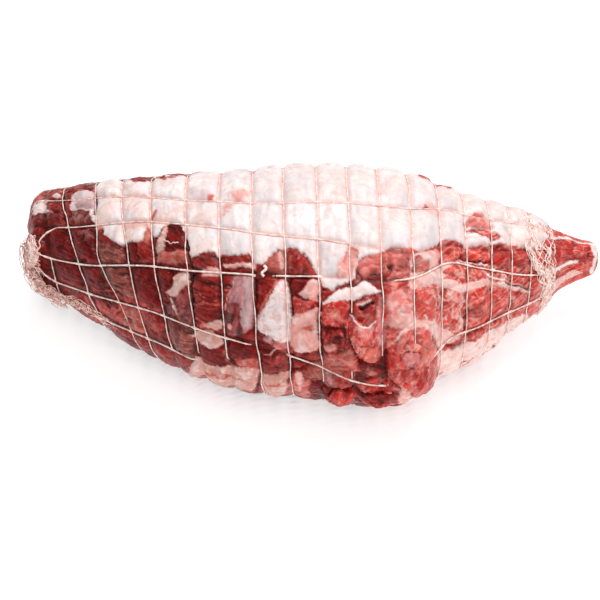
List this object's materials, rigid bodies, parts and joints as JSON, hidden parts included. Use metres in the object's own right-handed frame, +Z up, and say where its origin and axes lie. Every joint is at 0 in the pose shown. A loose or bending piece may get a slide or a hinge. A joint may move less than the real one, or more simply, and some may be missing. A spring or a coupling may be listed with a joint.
{
  "type": "beef shoulder roast",
  "caption": "Raw boneless beef shoulder rolled into a long tapered roast with a fat cap, held in elastic butcher's netting gathered at both ends.",
  "frame": {"origin": "on the flat of the underside that the roast rests on, below the middle of the body", "axes": "+X along the roast towards the shank end, +Y away from the viewer, +Z up"},
  "size_m": [0.3846, 0.208, 0.1259],
  "materials": {
    "raw_beef": "moist raw beef, dark red muscle under a near-white fat cap",
    "elastic_yarn": "white elastic yarn, faintly pink where it is wet"
  },
  "bodies": {
    "root": {"meat": "raw_beef", "netting": "elastic_yarn"}
  },
  "joints": []
}
